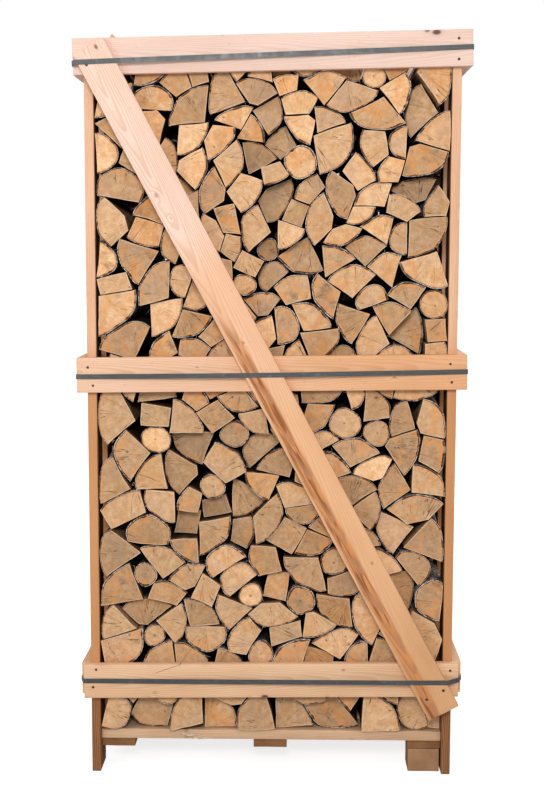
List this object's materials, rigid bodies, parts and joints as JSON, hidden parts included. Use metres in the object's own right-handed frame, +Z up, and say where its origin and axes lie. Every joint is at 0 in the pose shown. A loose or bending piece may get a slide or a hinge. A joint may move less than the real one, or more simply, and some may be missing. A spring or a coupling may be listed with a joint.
{
  "type": "crate of split birch firewood",
  "caption": "Tall open board crate with a diagonal brace and tight straps, packed with split birch logs whose sawn ends face the front and back.",
  "frame": {"origin": "on the ground, at the centre of the crate's footprint", "axes": "+Z up; the front, with the sawn log ends and the brace, faces -Y; +X is to the right seen from the front"},
  "size_m": [1.0538, 0.6038, 2.028],
  "materials": {
    "crate_pine": "rough-sawn softwood, pale with brown grain and dark knots",
    "brace_pine": "rough-sawn softwood, pale at the edge and orange heartwood, with knots",
    "base_pine": "rough-sawn softwood, slightly weathered and dusty",
    "birch_firewood": "dry split birch, sawn ends with radial cracks, white papery bark",
    "dark_steel": "dark blue-grey band with a slight sheen"
  },
  "bodies": {
    "root": {"post_front_left": "crate_pine", "post_front_right": "crate_pine", "post_back_left": "crate_pine", "post_back_right": "crate_pine", "front_rail_top": "crate_pine", "back_rail_top": "crate_pine", "left_rail_top": "crate_pine", "right_rail_top": "crate_pine", "front_rail_middle": "crate_pine", "back_rail_middle": "crate_pine", "left_rail_middle": "crate_pine", "right_rail_middle": "crate_pine", "front_rail_bottom": "crate_pine", "back_rail_bottom": "crate_pine", "left_rail_bottom": "crate_pine", "right_rail_bottom": "crate_pine", "side_slat_left": "crate_pine", "side_slat_right": "crate_pine", "brace_front": "brace_pine", "brace_back": "brace_pine", "stringer_left": "base_pine", "stringer_middle": "base_pine", "stringer_right": "base_pine", "block_left_centre": "base_pine", "block_left_back": "base_pine", "block_middle_centre": "base_pine", "block_middle_back": "base_pine", "block_right_front": "base_pine", "block_right_centre": "base_pine", "block_right_back": "base_pine", "deck_board_front": "base_pine", "deck_board_middle_front": "base_pine", "deck_board_middle_back": "base_pine", "deck_board_back": "base_pine", "log_row_front": "birch_firewood", "log_row_back": "birch_firewood", "strap_top": "dark_steel", "strap_seal_top": "dark_steel", "strap_middle": "dark_steel", "strap_seal_middle": "dark_steel", "strap_bottom": "dark_steel", "strap_seal_bottom": "dark_steel"}
  },
  "joints": []
}
